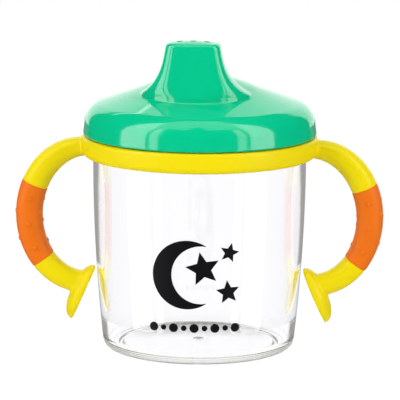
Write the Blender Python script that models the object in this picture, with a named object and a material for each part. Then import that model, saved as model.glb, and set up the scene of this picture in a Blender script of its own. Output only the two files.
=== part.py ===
"""Sippy cup: a clear tumbler, a screw lid with a spout, and a turning ring with two handles."""

import math

import bmesh
import bpy
from mathutils import Matrix, Vector

# Driving sizes of the tumbler, in metres
TUMBLER_RADIUS = 0.0375
FOOT_RADIUS = 0.0339
LEDGE_HEIGHT = 0.0681
WALL_THICKNESS = 0.0022
FLOOR_THICKNESS = 0.0018
BASE_CORNER = 0.0034
RECESS_RADIUS = 0.0283
RECESS_DEPTH = 0.0008
RECESS_SLOPE = 0.0019
FLOOR_CORNER = 0.0022
LEDGE_WIDTH = 0.0013
RIM_ROUND = 0.0006

# Driving sizes of the handle ring, its arms and their pads
RING_HEIGHT = 0.0074
RING_BULGE = 0.0050
RING_ROUND = 0.0024
RING_TOP_ROUND = 0.0010
ARM_REACH = 0.0199
ARM_DROP = 0.02435
ARM_ROOT_INSET = 0.0012
ARM_ROOT_DROP = 0.0047
ROOT_HALF_THICKNESS = 0.0032
MIDDLE_HALF_THICKNESS = 0.0047
END_HALF_THICKNESS = 0.0038
ROOT_HALF_DEPTH = 0.0040
MIDDLE_HALF_DEPTH = 0.0052
END_HALF_DEPTH = 0.0042
ARM_SQUARENESS = 2.4
THICKEST_AT = 0.40
GRIP_TOP_ANGLE = math.radians(26.6)
GRIP_END_ANGLE = math.radians(-42.0)
ARM_END_ANGLE = math.radians(-87.0)
GRIP_THICKNESS = 0.0016
PAD_TILT = math.radians(23.8)
PAD_HALF_LENGTH = 0.0105
PAD_HALF_DEPTH = 0.0066
PAD_THICKNESS = 0.0047
PAD_WALL_GAP = 0.0032
PAD_DROP = 0.0040
PAD_EDGE = 0.0004
PAD_DOME_SHARE = 0.80
PAD_SQUARENESS = 2.2

# Driving sizes of the lid and its spout
THREAD_ROOM = 0.0021
SKIRT_WALL = 0.0027
SKIRT_HEIGHT = 0.0038
SKIRT_DRAFT = 0.0004
SKIRT_EDGE = 0.0007
THREAD_ZONE = 0.0060
SHOULDER_RADIUS = 0.0080
DOME_SLOPE = math.radians(19.4)
CROWN_RADIUS = 0.0205
CROWN_SLOPE = math.radians(26.0)
DOME_WALL = 0.0024
SEAT_CHAMFER_RISE = 1.5
LID_CLOCKING = math.radians(-4.8)
SPOUT_HEIGHT = 0.0349
SPOUT_OFFSET = 0.0190
SPOUT_HALF_WIDTH = 0.0093
SPOUT_HALF_DEPTH = 0.0055
SPOUT_DRAFT = 0.16
SPOUT_ROUND = 0.0014
SPOUT_SQUARENESS = 3.8
FLARE_SQUARENESS = 2.0
BORE_SQUARENESS = 3.0
POCKET_SQUARENESS = 2.6
ROUND = 2.0
FLARE_LENGTH = 0.0185
FLARE_POWER = 3.5
FLARE_WIDTH = 0.0068
FLARE_DEPTH = 0.0085
FLARE_SHIFT = 0.0070
BORE_HALF_WIDTH = 0.0078
BORE_HALF_DEPTH = 0.0037
SOCKET_WALL = 0.0016
SPOUT_TOP_WALL = 0.0020
DRINK_HOLE_RADIUS = 0.0012
DRINK_HOLE_SPACING = 0.0048
VENT_OFFSET = 0.0110
VENT_HOLE_RADIUS = 0.0010
VENT_SOCKET_RADIUS = 0.0030

# Driving sizes of the silicone seal and valve
SEAL_HEIGHT = 0.0016
SEAL_WIDTH = 0.0028
VALVE_PLATE = 0.0020
VALVE_FLANGE = 0.0026
VALVE_WEB_HALF_WIDTH = 0.0034
PLUG_HEIGHT = 0.0075
PLUG_WALL = 0.0015

# Clearances
FIT_GAP = 0.0003
SOCKET_DEPTH_BELOW_SEAT = 0.0006

# Fineness of the curved faces
TURN_STEPS = 52
SECTION_POINTS = 16
PAD_POINTS = 24
SPOUT_POINTS = 32

# Levels that follow from the sizes above
NECK_RADIUS = TUMBLER_RADIUS - LEDGE_WIDTH
LID_BORE = NECK_RADIUS + THREAD_ROOM
LID_RADIUS = LID_BORE + SKIRT_WALL
RING_BOTTOM = LEDGE_HEIGHT + FIT_GAP
RING_TOP = RING_BOTTOM + RING_HEIGHT
RING_BORE = NECK_RADIUS + FIT_GAP
RING_RADIUS = RING_BORE + RING_BULGE
LID_BOTTOM = RING_TOP + FIT_GAP
RIM_HEIGHT = LID_BOTTOM + THREAD_ZONE
SEAL_BOTTOM = RIM_HEIGHT + FIT_GAP
LID_SEAT = SEAL_BOTTOM + SEAL_HEIGHT + FIT_GAP
SPOUT_TOP = LID_BOTTOM + SPOUT_HEIGHT
SOCKET_BOTTOM = LID_SEAT + SOCKET_DEPTH_BELOW_SEAT
VALVE_TOP = SOCKET_BOTTOM - FIT_GAP
VALVE_BOTTOM = VALVE_TOP - VALVE_PLATE


def clear_scene():
    """Remove every object that the scene starts with."""
    for old in list(bpy.data.objects):
        bpy.data.objects.remove(old, do_unlink=True)


def finish_mesh(name, builder):
    """Turn a bmesh into a closed object with its faces pointing outward."""
    bmesh.ops.remove_doubles(builder, verts=builder.verts, dist=1e-7)
    bmesh.ops.recalc_face_normals(builder, faces=builder.faces)
    mesh = bpy.data.meshes.new(name)
    builder.to_mesh(mesh)
    builder.free()
    piece = bpy.data.objects.new(name, mesh)
    bpy.context.collection.objects.link(piece)
    return piece


def arc(centre_r, centre_z, radius, start, end, steps):
    """Points of a round stretch of a turned outline, both ends included."""
    points = []
    for step in range(steps + 1):
        angle = start + (end - start) * step / steps
        points.append((centre_r + radius * math.cos(angle), centre_z + radius * math.sin(angle)))
    return points


def turned(name, outline):
    """Turn a closed outline of (radius, height) points about the upright axis."""
    builder = bmesh.new()
    columns = []
    for step in range(TURN_STEPS):
        angle = 2 * math.pi * step / TURN_STEPS
        column = []
        for radius, height in outline:
            column.append(builder.verts.new((radius * math.cos(angle), radius * math.sin(angle), height)))
        columns.append(column)
    count = len(outline)
    for step in range(TURN_STEPS):
        here = columns[step]
        there = columns[(step + 1) % TURN_STEPS]
        for index in range(count):
            after = (index + 1) % count
            on_axis = outline[index][0] < 1e-9
            next_on_axis = outline[after][0] < 1e-9
            if on_axis and next_on_axis:
                continue
            if on_axis:
                builder.faces.new((here[index], there[after], here[after]))
            elif next_on_axis:
                builder.faces.new((here[index], there[index], here[after]))
            else:
                builder.faces.new((here[index], there[index], there[after], here[after]))
    return finish_mesh(name, builder)


def skinned(name, sections, endless=False):
    """Skin rings of points; an endless skin joins its last ring to its first."""
    builder = bmesh.new()
    rings = []
    for section in sections:
        rings.append([builder.verts.new(point) for point in section])
    count = len(sections[0])
    last = len(rings) if endless else len(rings) - 1
    for row in range(last):
        here = rings[row]
        there = rings[(row + 1) % len(rings)]
        for index in range(count):
            after = (index + 1) % count
            builder.faces.new((here[index], here[after], there[after], there[index]))
    if not endless:
        builder.faces.new(rings[0])
        builder.faces.new(rings[-1])
    return finish_mesh(name, builder)


def rounded_oval(half_a, half_b, squareness, count):
    """Points (a, b) of an oval whose corners fill out as squareness rises above two."""
    power = 2.0 / squareness
    points = []
    for index in range(count):
        angle = 2 * math.pi * (index + 0.5) / count
        along = math.copysign(abs(math.cos(angle)) ** power, math.cos(angle))
        across = math.copysign(abs(math.sin(angle)) ** power, math.sin(angle))
        points.append((half_a * along, half_b * across))
    return points


def combine(piece, other, operation):
    """Join or cut a piece with another one, which is used up."""
    other.hide_render = True
    other.display_type = "WIRE"
    modifier = piece.modifiers.new(operation.lower(), "BOOLEAN")
    modifier.operation = operation
    modifier.solver = "EXACT"
    modifier.object = other
    graph = bpy.context.evaluated_depsgraph_get()
    result = bpy.data.meshes.new_from_object(piece.evaluated_get(graph))
    piece.modifiers.clear()
    piece.data = result
    result.name = piece.name
    bpy.data.objects.remove(other, do_unlink=True)


def upright_prism(name, half_width, half_depth, squareness, centre_y, bottom, top, count=SPOUT_POINTS):
    """A straight upright bar with an oval section."""
    sections = []
    for height in (bottom, top):
        ring = rounded_oval(half_width, half_depth, squareness, count)
        sections.append([(x, y + centre_y, height) for x, y in ring])
    return skinned(name, sections)


def plastic(name, colour, roughness, coat=0.0, transmission=0.0):
    """A plain moulded material."""
    material = bpy.data.materials.new(name)
    material.use_nodes = True
    shader = material.node_tree.nodes["Principled BSDF"]
    shader.inputs["Base Color"].default_value = (*colour, 1.0)
    shader.inputs["Roughness"].default_value = roughness
    shader.inputs["Metallic"].default_value = 0.0
    shader.inputs["Coat Weight"].default_value = coat
    shader.inputs["Transmission Weight"].default_value = transmission
    return material


def dress(piece, material, sharp_angle=32.0):
    """Give a piece its material and smooth its round faces."""
    piece.data.materials.clear()
    piece.data.materials.append(material)
    piece.data.shade_smooth()
    piece.data.set_sharp_from_angle(angle=math.radians(sharp_angle))


def wall_radius(height):
    """Outside radius of the tumbler's wall, upright under the ledge and bowed in to the foot."""
    bow = (LEDGE_HEIGHT - height) / (LEDGE_HEIGHT - BASE_CORNER)
    return TUMBLER_RADIUS - (TUMBLER_RADIUS - FOOT_RADIUS) * bow * bow


def build_tumbler():
    """The open cup: foot, bowed wall, ledge for the ring, neck and rim."""
    wall_steps = 5
    outline = [(0.0, RECESS_DEPTH), (RECESS_RADIUS - RECESS_SLOPE, RECESS_DEPTH), (RECESS_RADIUS, 0.0)]
    outline += arc(FOOT_RADIUS - BASE_CORNER, BASE_CORNER, BASE_CORNER, -math.pi / 2, 0.0, 4)
    for step in range(1, wall_steps + 1):
        height = BASE_CORNER + (LEDGE_HEIGHT - BASE_CORNER) * step / wall_steps
        outline.append((wall_radius(height), height))
    outline.append((NECK_RADIUS, LEDGE_HEIGHT))
    outline += arc(NECK_RADIUS - RIM_ROUND, RIM_HEIGHT - RIM_ROUND, RIM_ROUND, 0.0, math.pi / 2, 2)
    inner_neck = NECK_RADIUS - WALL_THICKNESS
    outline += arc(inner_neck + RIM_ROUND, RIM_HEIGHT - RIM_ROUND, RIM_ROUND, math.pi / 2, math.pi, 2)
    floor = RECESS_DEPTH + FLOOR_THICKNESS
    for step in range(wall_steps, 0, -1):
        height = floor + FLOOR_CORNER + (LEDGE_HEIGHT - floor - FLOOR_CORNER) * step / wall_steps
        inside = min(wall_radius(height) - WALL_THICKNESS, inner_neck)
        outline.append((inside, height))
    corner_radius = wall_radius(floor + FLOOR_CORNER) - WALL_THICKNESS
    outline += arc(corner_radius - FLOOR_CORNER, floor + FLOOR_CORNER, FLOOR_CORNER, 0.0, -math.pi / 2, 3)
    outline.append((0.0, floor))
    tumbler = turned("tumbler", outline)
    dress(tumbler, plastic("clear_tumbler", (0.92, 0.92, 0.95), 0.05, transmission=1.0))
    return tumbler


def arm_frame(angle):
    """Place, along and outward directions of an arm's middle line at an angle of its sweep."""
    centre_x = RING_RADIUS - ARM_ROOT_INSET
    centre_z = RING_TOP - ARM_ROOT_DROP - ARM_DROP
    place = Vector((centre_x + ARM_REACH * math.cos(angle), 0.0, centre_z + ARM_DROP * math.sin(angle)))
    along = Vector((-ARM_REACH * math.sin(angle), 0.0, ARM_DROP * math.cos(angle))).normalized()
    outward = Vector((along.z, 0.0, -along.x))
    return place, along, outward


def swell(angle, root, middle, end):
    """A size that grows from the arm's root to its thickest place and shrinks to its end."""
    share = (math.pi / 2 - angle) / (math.pi / 2 - ARM_END_ANGLE)
    if share < THICKEST_AT:
        blend = share / THICKEST_AT
        low = root
    else:
        blend = (1 - share) / (1 - THICKEST_AT)
        low = end
    blend = min(max(blend, 0.0), 1.0)
    return low + (middle - low) * math.sin(blend * math.pi / 2)


def arm_section(angle, inset, side):
    """Ring of points round an arm, set in below its outer face by an inset."""
    place, _, outward = arm_frame(angle)
    thickness = swell(angle, ROOT_HALF_THICKNESS, MIDDLE_HALF_THICKNESS, END_HALF_THICKNESS) - inset
    depth = swell(angle, ROOT_HALF_DEPTH, MIDDLE_HALF_DEPTH, END_HALF_DEPTH) - inset
    points = []
    for out, across in rounded_oval(thickness, depth, ARM_SQUARENESS, SECTION_POINTS):
        spot = place + outward * out
        points.append((side * spot.x, across, spot.z))
    return points


def sweep(start, end, steps):
    """Evenly spaced angles, both ends included."""
    return [start + (end - start) * step / steps for step in range(steps + 1)]


def gap_angle(angle):
    """How far an arm's angle moves along its sweep for one fit gap."""
    speed = math.hypot(ARM_REACH * math.sin(angle), ARM_DROP * math.cos(angle))
    return FIT_GAP / speed


def build_arm(side):
    """One handle arm with a thinner core where its grip is moulded on."""
    core_inset = GRIP_THICKNESS + FIT_GAP
    sections = []
    for angle in sweep(math.pi / 2, GRIP_TOP_ANGLE, 9):
        sections.append(arm_section(angle, 0.0, side))
    for angle in sweep(GRIP_TOP_ANGLE, GRIP_END_ANGLE, 8):
        sections.append(arm_section(angle, core_inset, side))
    for angle in sweep(GRIP_END_ANGLE, ARM_END_ANGLE, 6):
        sections.append(arm_section(angle, 0.0, side))
    return skinned("arm", sections)


def build_pad(side):
    """The oval end pad of an arm, flat toward the tumbler and rounded on its outer side."""
    toward = Vector((-math.cos(PAD_TILT), 0.0, -math.sin(PAD_TILT)))
    down = Vector((math.sin(PAD_TILT), 0.0, -math.cos(PAD_TILT)))
    arm_foot = arm_frame(-math.pi / 2)[0].z
    centre = Vector((TUMBLER_RADIUS + PAD_WALL_GAP, 0.0, arm_foot - PAD_DROP))
    layers = [(0.0, 1 - PAD_EDGE / PAD_HALF_DEPTH), (PAD_EDGE, 1.0)]
    dome_height = PAD_THICKNESS - PAD_EDGE
    dome_steps = 4
    for step in range(1, dome_steps + 1):
        turn = math.pi / 2 * step / (dome_steps + 0.5)
        layers.append((PAD_EDGE + dome_height * math.sin(turn), 1 - PAD_DOME_SHARE * (1 - math.cos(turn))))
    sections = []
    for depth, scale in layers:
        ring = []
        half_length = PAD_HALF_LENGTH * scale
        half_depth = PAD_HALF_DEPTH * scale
        for length, across in rounded_oval(half_length, half_depth, PAD_SQUARENESS, PAD_POINTS):
            spot = centre - toward * depth + down * length
            ring.append((side * spot.x, across, spot.z))
        sections.append(ring)
    return skinned("pad", sections)


def build_handle_ring():
    """The ring under the lid with both handle arms and pads, one moulding."""
    middle = RING_RADIUS - RING_ROUND
    outline = [(RING_BORE, RING_TOP), (RING_BORE, RING_BOTTOM)]
    outline += arc(middle, RING_BOTTOM + RING_ROUND, RING_ROUND, -math.pi / 2, 0.0, 4)
    top_middle = RING_RADIUS - RING_TOP_ROUND
    outline += arc(top_middle, RING_TOP - RING_TOP_ROUND, RING_TOP_ROUND, 0.0, math.pi / 2, 2)
    ring = turned("handle_ring", outline)
    for side in (-1, 1):
        arm = build_arm(side)
        combine(arm, build_pad(side), "UNION")
        combine(ring, arm, "UNION")
    dress(ring, plastic("yellow_plastic", (0.87, 0.72, 0.0), 0.38))
    return ring


def build_grip(name, side):
    """A soft sleeve moulded round one arm, flush with the arm at both ends."""
    top = GRIP_TOP_ANGLE - gap_angle(GRIP_TOP_ANGLE)
    end = GRIP_END_ANGLE + gap_angle(GRIP_END_ANGLE)
    sections = [arm_section(angle, 0.0, side) for angle in sweep(top, end, 10)]
    sections += [arm_section(angle, GRIP_THICKNESS, side) for angle in sweep(end, top, 10)]
    grip = skinned(name, sections, endless=True)
    dress(grip, plastic(name + "_rubber", (0.84, 0.16, 0.0), 0.55))
    return grip


def crown_ball():
    """Height of the centre and radius of the ball that the crown is cut from."""
    radius = CROWN_RADIUS / math.sin(CROWN_SLOPE)
    cone_rise = (shoulder_end()[0] - CROWN_RADIUS) * math.tan(DOME_SLOPE)
    return shoulder_end()[1] + cone_rise - radius * math.cos(CROWN_SLOPE), radius


def crown_points(inset, steps):
    """The rounded crown of the dome from its edge to the axis, set in by an inset."""
    centre_z, radius = crown_ball()
    return arc(0.0, centre_z, radius - inset, math.pi / 2 - CROWN_SLOPE, math.pi / 2, steps)


def crown_under(distance):
    """Height of the crown's underside at a distance from the axis."""
    centre_z, radius = crown_ball()
    return centre_z + math.sqrt((radius - DOME_WALL) ** 2 - distance ** 2)


def shoulder_centre():
    """Centre of the dome's rounded shoulder."""
    return LID_RADIUS - SKIRT_DRAFT - SHOULDER_RADIUS, LID_BOTTOM + SKIRT_HEIGHT


def shoulder_end():
    """Where the rounded shoulder runs out into the dome's slope."""
    centre_r, centre_z = shoulder_centre()
    turn = math.pi / 2 - DOME_SLOPE
    return centre_r + SHOULDER_RADIUS * math.cos(turn), centre_z + SHOULDER_RADIUS * math.sin(turn)


def lid_outside():
    """The lid's outer form turned solid to the axis."""
    centre_r, centre_z = shoulder_centre()
    outline = [(0.0, LID_BOTTOM), (LID_RADIUS - SKIRT_EDGE, LID_BOTTOM)]
    outline += [(LID_RADIUS, LID_BOTTOM + SKIRT_EDGE)]
    outline += arc(centre_r, centre_z, SHOULDER_RADIUS, 0.0, math.pi / 2 - DOME_SLOPE, 7)
    outline += crown_points(0.0, 5)
    return turned("lid", outline)


def lid_inside():
    """The hollow under the lid: thread wall, seal seat and dome."""
    end_r, end_z = shoulder_end()
    seat_outer = NECK_RADIUS + FIT_GAP
    seat_inner = NECK_RADIUS - SEAL_WIDTH - FIT_GAP
    rise = (end_r - seat_inner) * math.tan(DOME_SLOPE) - DOME_WALL / math.cos(DOME_SLOPE)
    chamfer_rise = SEAT_CHAMFER_RISE * (LID_BORE - seat_outer)
    outline = [(0.0, LID_BOTTOM - SKIRT_WALL), (LID_BORE, LID_BOTTOM - SKIRT_WALL)]
    outline += [(LID_BORE, LID_SEAT - chamfer_rise), (seat_outer, LID_SEAT)]
    outline += [(seat_inner, LID_SEAT), (seat_inner, end_z + rise)]
    outline += crown_points(DOME_WALL, 4)
    return turned("lid_hollow", outline)


def spout_section(down, inset):
    """Ring of points round the spout at a distance down from its top, set in by an inset."""
    share = min(down / FLARE_LENGTH, 1.0)
    flare = share ** FLARE_POWER
    if down < SPOUT_ROUND:
        inset += SPOUT_ROUND - math.sqrt(SPOUT_ROUND ** 2 - (SPOUT_ROUND - down) ** 2)
    half_width = SPOUT_HALF_WIDTH + SPOUT_DRAFT * share * FLARE_LENGTH + FLARE_WIDTH * flare - inset
    half_depth = SPOUT_HALF_DEPTH + FLARE_DEPTH * flare - inset
    squareness = SPOUT_SQUARENESS + (FLARE_SQUARENESS - SPOUT_SQUARENESS) * flare
    centre_y = -SPOUT_OFFSET + FLARE_SHIFT * flare
    height = SPOUT_TOP - down
    ring = rounded_oval(half_width, half_depth, squareness, SPOUT_POINTS)
    return [(x, y + centre_y, height) for x, y in ring]


def spout_outside(bottom):
    """The spout's outer form, carried down into the dome."""
    lip_steps = 3
    side_steps = 9
    sections = []
    for step in range(lip_steps):
        turn = math.pi / 2 * step / lip_steps
        sections.append(spout_section(SPOUT_ROUND * (1 - math.cos(turn)), 0.0))
    for step in range(side_steps + 1):
        down = SPOUT_ROUND + (FLARE_LENGTH - SPOUT_ROUND) * step / side_steps
        sections.append(spout_section(down, 0.0))
    foot = spout_section(FLARE_LENGTH, 0.0)
    sections.append([(x, y, bottom) for x, y, _ in foot])
    return skinned("spout", sections)


def spout_core(ceiling, bottom):
    """The hollow cored out under the spout's flare."""
    start = SPOUT_TOP - ceiling
    steps = 5
    sections = []
    for step in range(steps + 1):
        sections.append(spout_section(start + (FLARE_LENGTH - start) * step / steps, DOME_WALL))
    foot = spout_section(FLARE_LENGTH, DOME_WALL)
    sections.append([(x, y, bottom) for x, y, _ in foot])
    return skinned("spout_core", sections)


def build_lid():
    """The screw lid: skirt, dome, spout with drinking holes, vent, and the sockets for the valve."""
    lid = lid_outside()
    crown_edge = crown_points(0.0, 1)[0][1]
    core_ceiling = crown_edge + 2 * DOME_WALL
    combine(lid, spout_outside(LID_SEAT + 2 * DOME_WALL), "UNION")
    combine(lid, lid_inside(), "DIFFERENCE")
    combine(lid, spout_core(core_ceiling, LID_SEAT), "DIFFERENCE")
    socket_top = core_ceiling + SOCKET_WALL
    socket_width = BORE_HALF_WIDTH + SOCKET_WALL
    socket_depth = BORE_HALF_DEPTH + SOCKET_WALL
    tube = upright_prism("socket", socket_width, socket_depth, BORE_SQUARENESS, -SPOUT_OFFSET,
                         SOCKET_BOTTOM, socket_top)
    combine(lid, tube, "UNION")
    vent_outer = VENT_SOCKET_RADIUS + SOCKET_WALL
    vent_ceiling = crown_under(VENT_OFFSET)
    vent_tube = upright_prism("vent_socket", vent_outer, vent_outer, ROUND, VENT_OFFSET,
                              SOCKET_BOTTOM, vent_ceiling + DOME_WALL / 2, 24)
    combine(lid, vent_tube, "UNION")
    bore = upright_prism("bore", BORE_HALF_WIDTH, BORE_HALF_DEPTH, BORE_SQUARENESS, -SPOUT_OFFSET,
                         LID_BOTTOM, SPOUT_TOP - SPOUT_TOP_WALL)
    combine(lid, bore, "DIFFERENCE")
    vent_bore = upright_prism("vent_bore", VENT_SOCKET_RADIUS, VENT_SOCKET_RADIUS, ROUND, VENT_OFFSET,
                              LID_BOTTOM, vent_ceiling, 24)
    combine(lid, vent_bore, "DIFFERENCE")
    vent = upright_prism("vent", VENT_HOLE_RADIUS, VENT_HOLE_RADIUS, ROUND, VENT_OFFSET,
                         LID_BOTTOM, SPOUT_TOP, 12)
    combine(lid, vent, "DIFFERENCE")
    for place in (-1, 0, 1):
        hole = upright_prism("hole", DRINK_HOLE_RADIUS, DRINK_HOLE_RADIUS, ROUND, -SPOUT_OFFSET,
                             SPOUT_TOP - 2 * SPOUT_TOP_WALL, SPOUT_TOP + SPOUT_TOP_WALL, 12)
        hole.data.transform(Matrix.Translation((place * DRINK_HOLE_SPACING, 0.0, 0.0)))
        combine(lid, hole, "DIFFERENCE")
    lid.data.transform(Matrix.Rotation(LID_CLOCKING, 4, "Z"))
    dress(lid, plastic("green_plastic", (0.0, 0.58, 0.28), 0.12, coat=0.4))
    return lid


def build_lid_seal():
    """The silicone ring between the tumbler's rim and the lid."""
    outer = NECK_RADIUS
    inner = NECK_RADIUS - SEAL_WIDTH
    top = SEAL_BOTTOM + SEAL_HEIGHT
    bevel = SEAL_HEIGHT / 4
    outline = [(inner, SEAL_BOTTOM), (outer - bevel, SEAL_BOTTOM), (outer, SEAL_BOTTOM + bevel)]
    outline += [(outer, top - bevel), (outer - bevel, top), (inner, top)]
    seal = turned("lid_seal", outline)
    dress(seal, plastic("seal_silicone", (0.78, 0.78, 0.76), 0.5))
    return seal


def valve_half_width(y):
    """Half the width of the valve's plate at a place along it."""
    half_width = VALVE_WEB_HALF_WIDTH
    flange_width = BORE_HALF_WIDTH + VALVE_FLANGE
    flange_depth = BORE_HALF_DEPTH + VALVE_FLANGE
    vent_flange = VENT_SOCKET_RADIUS + VALVE_FLANGE
    from_spout = (y + SPOUT_OFFSET) / flange_depth
    from_vent = (y - VENT_OFFSET) / vent_flange
    if abs(from_spout) < 1:
        oval = flange_width * math.sqrt(1 - from_spout ** 2)
        half_width = oval if from_spout < 0 else max(half_width, oval)
    if abs(from_vent) < 1:
        disc = vent_flange * math.sqrt(1 - from_vent ** 2)
        half_width = disc if from_vent > 0 else max(half_width, disc)
    return half_width


def build_spout_valve():
    """The one-piece silicone valve: a plate with a plug for the spout and a plug for the vent."""
    first = -SPOUT_OFFSET - BORE_HALF_DEPTH - VALVE_FLANGE
    last = VENT_OFFSET + VENT_SOCKET_RADIUS + VALVE_FLANGE
    steps = 40
    places = []
    for step in range(steps + 1):
        share = 0.5 - 0.5 * math.cos(math.pi * (step + 0.5) / (steps + 1))
        places.append(first + (last - first) * share)
    right = [(valve_half_width(y), y) for y in places]
    outline = right + [(-x, y) for x, y in reversed(right)]
    plate_sections = [[(x, y, height) for x, y in outline] for height in (VALVE_BOTTOM, VALVE_TOP)]
    valve = skinned("spout_valve", plate_sections)
    middle = (VALVE_BOTTOM + VALVE_TOP) / 2
    plug_width = BORE_HALF_WIDTH - FIT_GAP
    plug_depth = BORE_HALF_DEPTH - FIT_GAP
    plug_top = VALVE_TOP + PLUG_HEIGHT
    plug = upright_prism("plug", plug_width, plug_depth, BORE_SQUARENESS, -SPOUT_OFFSET, middle, plug_top)
    combine(valve, plug, "UNION")
    stem = VENT_SOCKET_RADIUS - FIT_GAP
    vent_plug = upright_prism("vent_plug", stem, stem, ROUND, VENT_OFFSET, middle, plug_top, 20)
    combine(valve, vent_plug, "UNION")
    pocket_width = plug_width - PLUG_WALL
    pocket_depth = plug_depth - PLUG_WALL
    pocket = upright_prism("pocket", pocket_width, pocket_depth, POCKET_SQUARENESS, -SPOUT_OFFSET,
                           VALVE_BOTTOM - PLUG_WALL, plug_top - PLUG_WALL, 24)
    combine(valve, pocket, "DIFFERENCE")
    vent_pocket = upright_prism("vent_pocket", stem - PLUG_WALL, stem - PLUG_WALL, ROUND, VENT_OFFSET,
                                VALVE_BOTTOM - PLUG_WALL, plug_top - PLUG_WALL, 16)
    combine(valve, vent_pocket, "DIFFERENCE")
    valve.data.transform(Matrix.Rotation(LID_CLOCKING, 4, "Z"))
    dress(valve, plastic("valve_silicone", (0.80, 0.80, 0.78), 0.5))
    return valve


def main():
    """Build the cup."""
    clear_scene()
    build_tumbler()
    build_handle_ring()
    build_grip("left_grip", -1)
    build_grip("right_grip", 1)
    build_lid()
    build_lid_seal()
    build_spout_valve()


main()
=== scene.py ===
"""Looks of the training cup: its visible mouldings, finishes, floor, light and camera.

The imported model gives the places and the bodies. Each class below makes one sub-assembly
of the cup at full smoothness, dresses it and lets it ride on the body that carries it.
All sizes are in metres and all angles in radians, apart from those named as degrees.
"""

import logging
import math
from dataclasses import dataclass, field
from enum import Enum
from typing import Sequence

import bmesh
import bpy
from mathutils import Matrix, Vector


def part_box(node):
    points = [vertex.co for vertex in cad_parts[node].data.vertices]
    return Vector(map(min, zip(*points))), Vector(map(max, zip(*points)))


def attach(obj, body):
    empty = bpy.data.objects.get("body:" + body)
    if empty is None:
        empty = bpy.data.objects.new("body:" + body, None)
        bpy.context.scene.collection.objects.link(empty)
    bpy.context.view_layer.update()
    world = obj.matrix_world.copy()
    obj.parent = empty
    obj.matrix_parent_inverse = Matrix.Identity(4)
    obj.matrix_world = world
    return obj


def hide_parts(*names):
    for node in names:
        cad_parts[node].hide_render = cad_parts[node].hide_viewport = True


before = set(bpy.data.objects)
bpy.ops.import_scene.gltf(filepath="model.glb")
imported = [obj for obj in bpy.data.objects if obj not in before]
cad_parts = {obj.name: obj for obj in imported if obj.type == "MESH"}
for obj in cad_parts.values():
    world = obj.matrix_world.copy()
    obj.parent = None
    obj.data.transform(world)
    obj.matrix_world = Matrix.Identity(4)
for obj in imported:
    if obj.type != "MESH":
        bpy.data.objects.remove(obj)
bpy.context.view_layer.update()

Point = tuple[float, float, float]
Flat = tuple[float, float]
Colour = tuple[float, float, float]
Patches = list[list[Flat]]

LOG = logging.getLogger("training_cup")
QUARTER = math.pi / 2
FULL_TURN = 2 * math.pi
TURN_STEPS = 192
MERGE_DISTANCE = 1e-7
BUMP_FINENESS = 3
RIB_SIDES = 12
BROAD_SCALE = 38.0
BROAD_DETAIL = 2.0
GRAIN_DETAIL = 3.0
STAR_ARMS = 5
WHITE = (1.0, 1.0, 1.0, 1.0)


class Body(Enum):
    """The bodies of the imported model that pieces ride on."""

    TUMBLER = "tumbler"
    HANDLES = "handles"
    LID = "lid"
    SEAL = "lid_seal"
    VALVE = "spout_valve"


class Side(Enum):
    """Which handle a piece belongs to."""

    LEFT = -1
    RIGHT = 1


class Join(Enum):
    """How two closed meshes are combined."""

    ADD = "UNION"
    CUT = "DIFFERENCE"


class Ends(Enum):
    """What becomes of the first and the last ring of a skinned piece."""

    CAPPED = "capped"
    JOINED = "joined"
    OPEN = "open"


class Socket(Enum):
    """What the named sockets of a node group carry."""

    GEOMETRY = "NodeSocketGeometry"
    NUMBER = "NodeSocketFloat"
    COUNT = "NodeSocketInt"
    COLOUR = "NodeSocketColor"
    FINISH = "NodeSocketMaterial"


# Points and outlines


def spread(start: float, end: float, steps: int) -> list[float]:
    """Evenly spaced values, both ends included."""
    return [start + (end - start) * step / steps for step in range(steps + 1)]


def between(start: Sequence[float], end: Sequence[float], share: float) -> Flat:
    """Flat point that lies a share of the way from one point to another."""
    return (start[0] + (end[0] - start[0]) * share, start[1] + (end[1] - start[1]) * share)


def circle(radius: float, height: float, steps: int = TURN_STEPS) -> list[Point]:
    """Points of a level circle about the upright axis."""
    turns = (FULL_TURN * step / steps for step in range(steps))
    return [(radius * math.cos(turn), radius * math.sin(turn), height) for turn in turns]


def arc(centre: Flat, radius: float, start: float, end: float, steps: int) -> list[Flat]:
    """Points of a round stretch of an outline.

    Args:
        centre: Centre of the stretch.
        radius: Its radius.
        start: Angle of its first point.
        end: Angle of its last point.
        steps: How many steps it has.

    Returns:
        The points, both ends included.
    """
    return [(centre[0] + radius * math.cos(angle), centre[1] + radius * math.sin(angle))
            for angle in spread(start, end, steps)]


def oval_point(angle: float, squareness: float) -> Flat:
    """Point of an oval of unit size.

    Args:
        angle: Angle of the point round the oval.
        squareness: Two for an ellipse; above it the corners fill out.

    Returns:
        The point, with both parts between minus one and one.
    """
    power = 2.0 / squareness
    along, across = math.cos(angle), math.sin(angle)
    return (math.copysign(abs(along) ** power, along), math.copysign(abs(across) ** power, across))


def oval_angle(index: int, count: int) -> float:
    """Angle of one of the points that go round an oval."""
    return FULL_TURN * (index + 0.5) / count


def oval(half_a: float, half_b: float, squareness: float, count: int) -> list[Flat]:
    """Points of an oval.

    Args:
        half_a: Half of its size along the first direction.
        half_b: Half of its size along the second direction.
        squareness: Two for an ellipse; above it the corners fill out.
        count: How many points it has.

    Returns:
        The points.
    """
    units = (oval_point(oval_angle(index, count), squareness) for index in range(count))
    return [(half_a * along, half_b * across) for along, across in units]


# Meshes


def link_object(name: str, data: bpy.types.ID) -> bpy.types.Object:
    """Make an object of some data and put it into the scene.

    Args:
        name: The object's name.
        data: Its mesh, light or camera.

    Returns:
        The new object.
    """
    made = bpy.data.objects.new(name, data)
    bpy.context.scene.collection.objects.link(made)
    return made


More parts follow.
